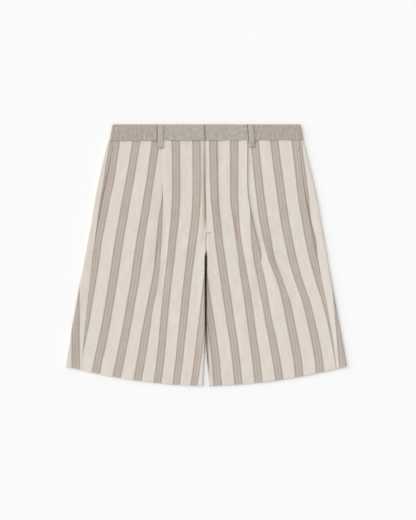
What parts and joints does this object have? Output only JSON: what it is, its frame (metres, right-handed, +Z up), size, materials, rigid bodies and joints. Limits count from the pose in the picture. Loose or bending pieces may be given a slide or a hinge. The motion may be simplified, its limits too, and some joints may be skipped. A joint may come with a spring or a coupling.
{
  "type": "bermuda shorts",
  "caption": "Knee-length striped shorts laid flat on their back, with front pleats, slanted side pockets, a fly, belt loops and a waistband gathered at the back.",
  "frame": {"origin": "centre of the flat outline, on the surface that the back of the shorts lies on", "axes": "+X to the viewer's right across both hems, +Y from the hems to the waistband, +Z up out of the front"},
  "size_m": [0.6041, 0.5612, 0.0075],
  "materials": {
    "striped_cloth": "matt woven cotton, cream with wide taupe stripes",
    "band_cloth": "matt woven cotton, taupe",
    "pocket_cloth": "matt plain cotton, cream",
    "zip": "woven tape"
  },
  "bodies": {
    "root": {"front_right": "striped_cloth", "front_left": "striped_cloth", "back_right": "striped_cloth", "back_left": "striped_cloth", "pocket_right": "pocket_cloth", "pocket_left": "pocket_cloth", "fly_shield": "striped_cloth", "fly_zip": "zip", "waistband_back": "band_cloth", "waistband_front_right": "band_cloth", "waistband_front_left": "band_cloth", "belt_loop_front_right": "band_cloth", "belt_loop_front_left": "band_cloth", "belt_loop_back_right": "band_cloth", "belt_loop_back_centre": "band_cloth", "belt_loop_back_left": "band_cloth"}
  },
  "joints": []
}
